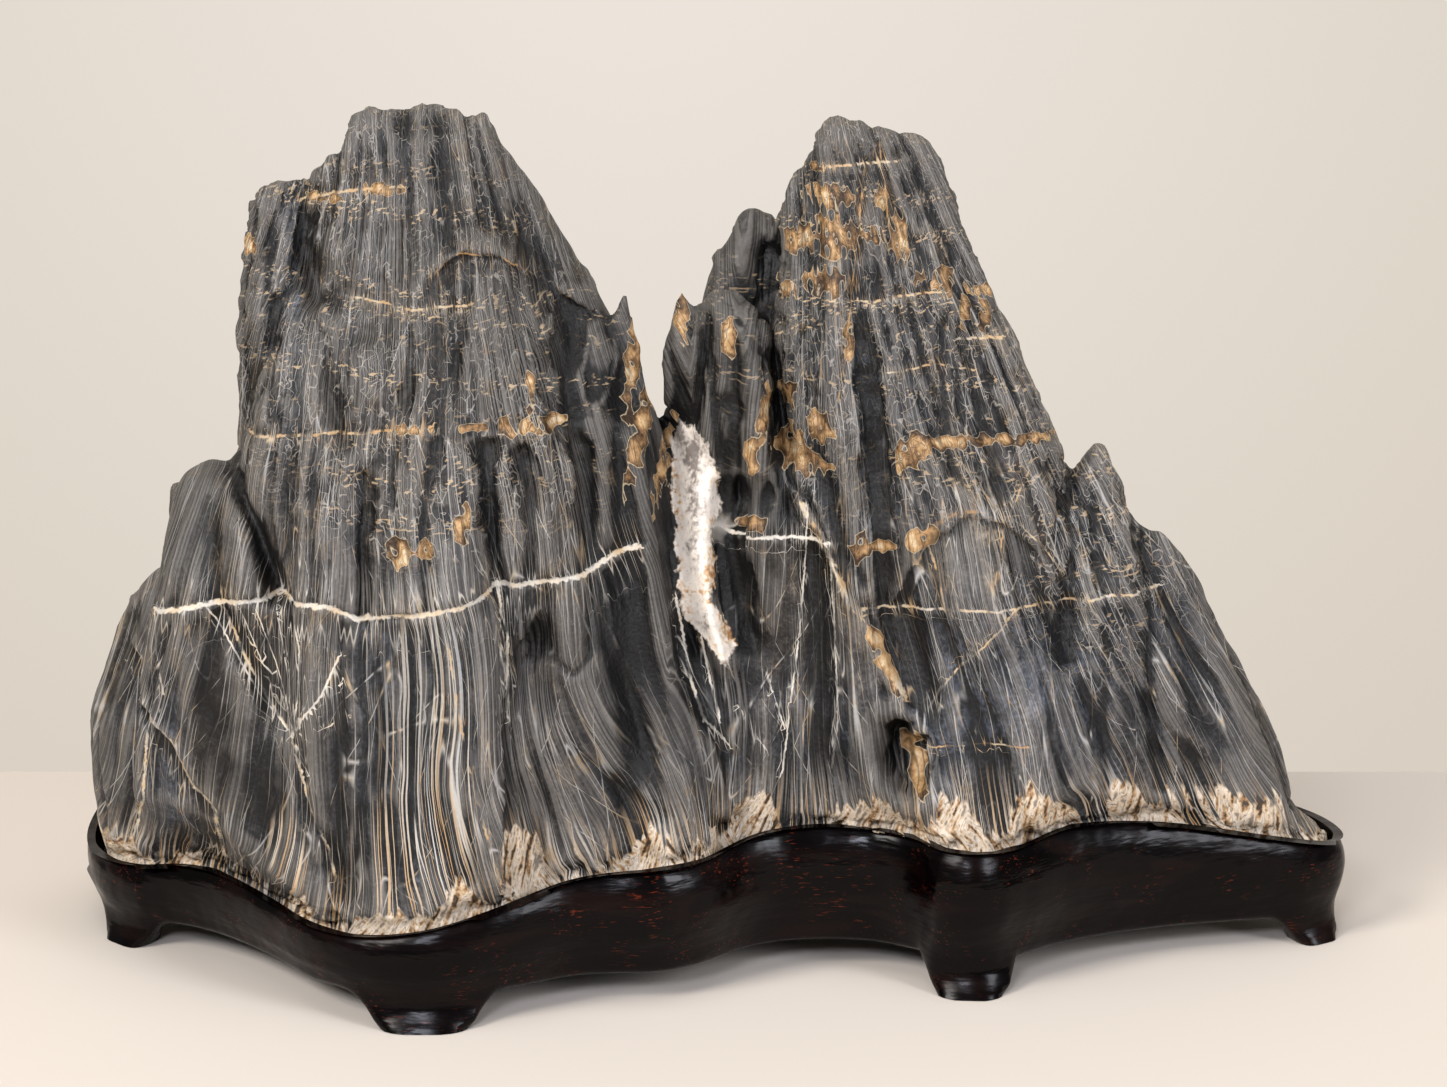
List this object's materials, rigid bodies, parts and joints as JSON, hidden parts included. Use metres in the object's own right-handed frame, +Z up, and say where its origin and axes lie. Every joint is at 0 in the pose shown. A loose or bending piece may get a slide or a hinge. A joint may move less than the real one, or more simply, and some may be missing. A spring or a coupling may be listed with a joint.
{
  "type": "scholars rock on stand",
  "caption": "Twin-peaked dark limestone scholar's rock with a calcite seam in its cleft, resting in a glossy near-black carved rosewood stand on short legs",
  "frame": {"origin": "on the table, under the middle of the object's bounding box", "axes": "+X to the viewer's right along the long side, +Y away from the front, +Z up"},
  "size_m": [0.4818, 0.1914, 0.3117],
  "materials": {
    "limestone": "dry, fine ridged, with pale calcite veins",
    "rosewood": "hand-polished gloss"
  },
  "bodies": {
    "root": {"stone": "limestone", "stand": "rosewood"}
  },
  "joints": []
}
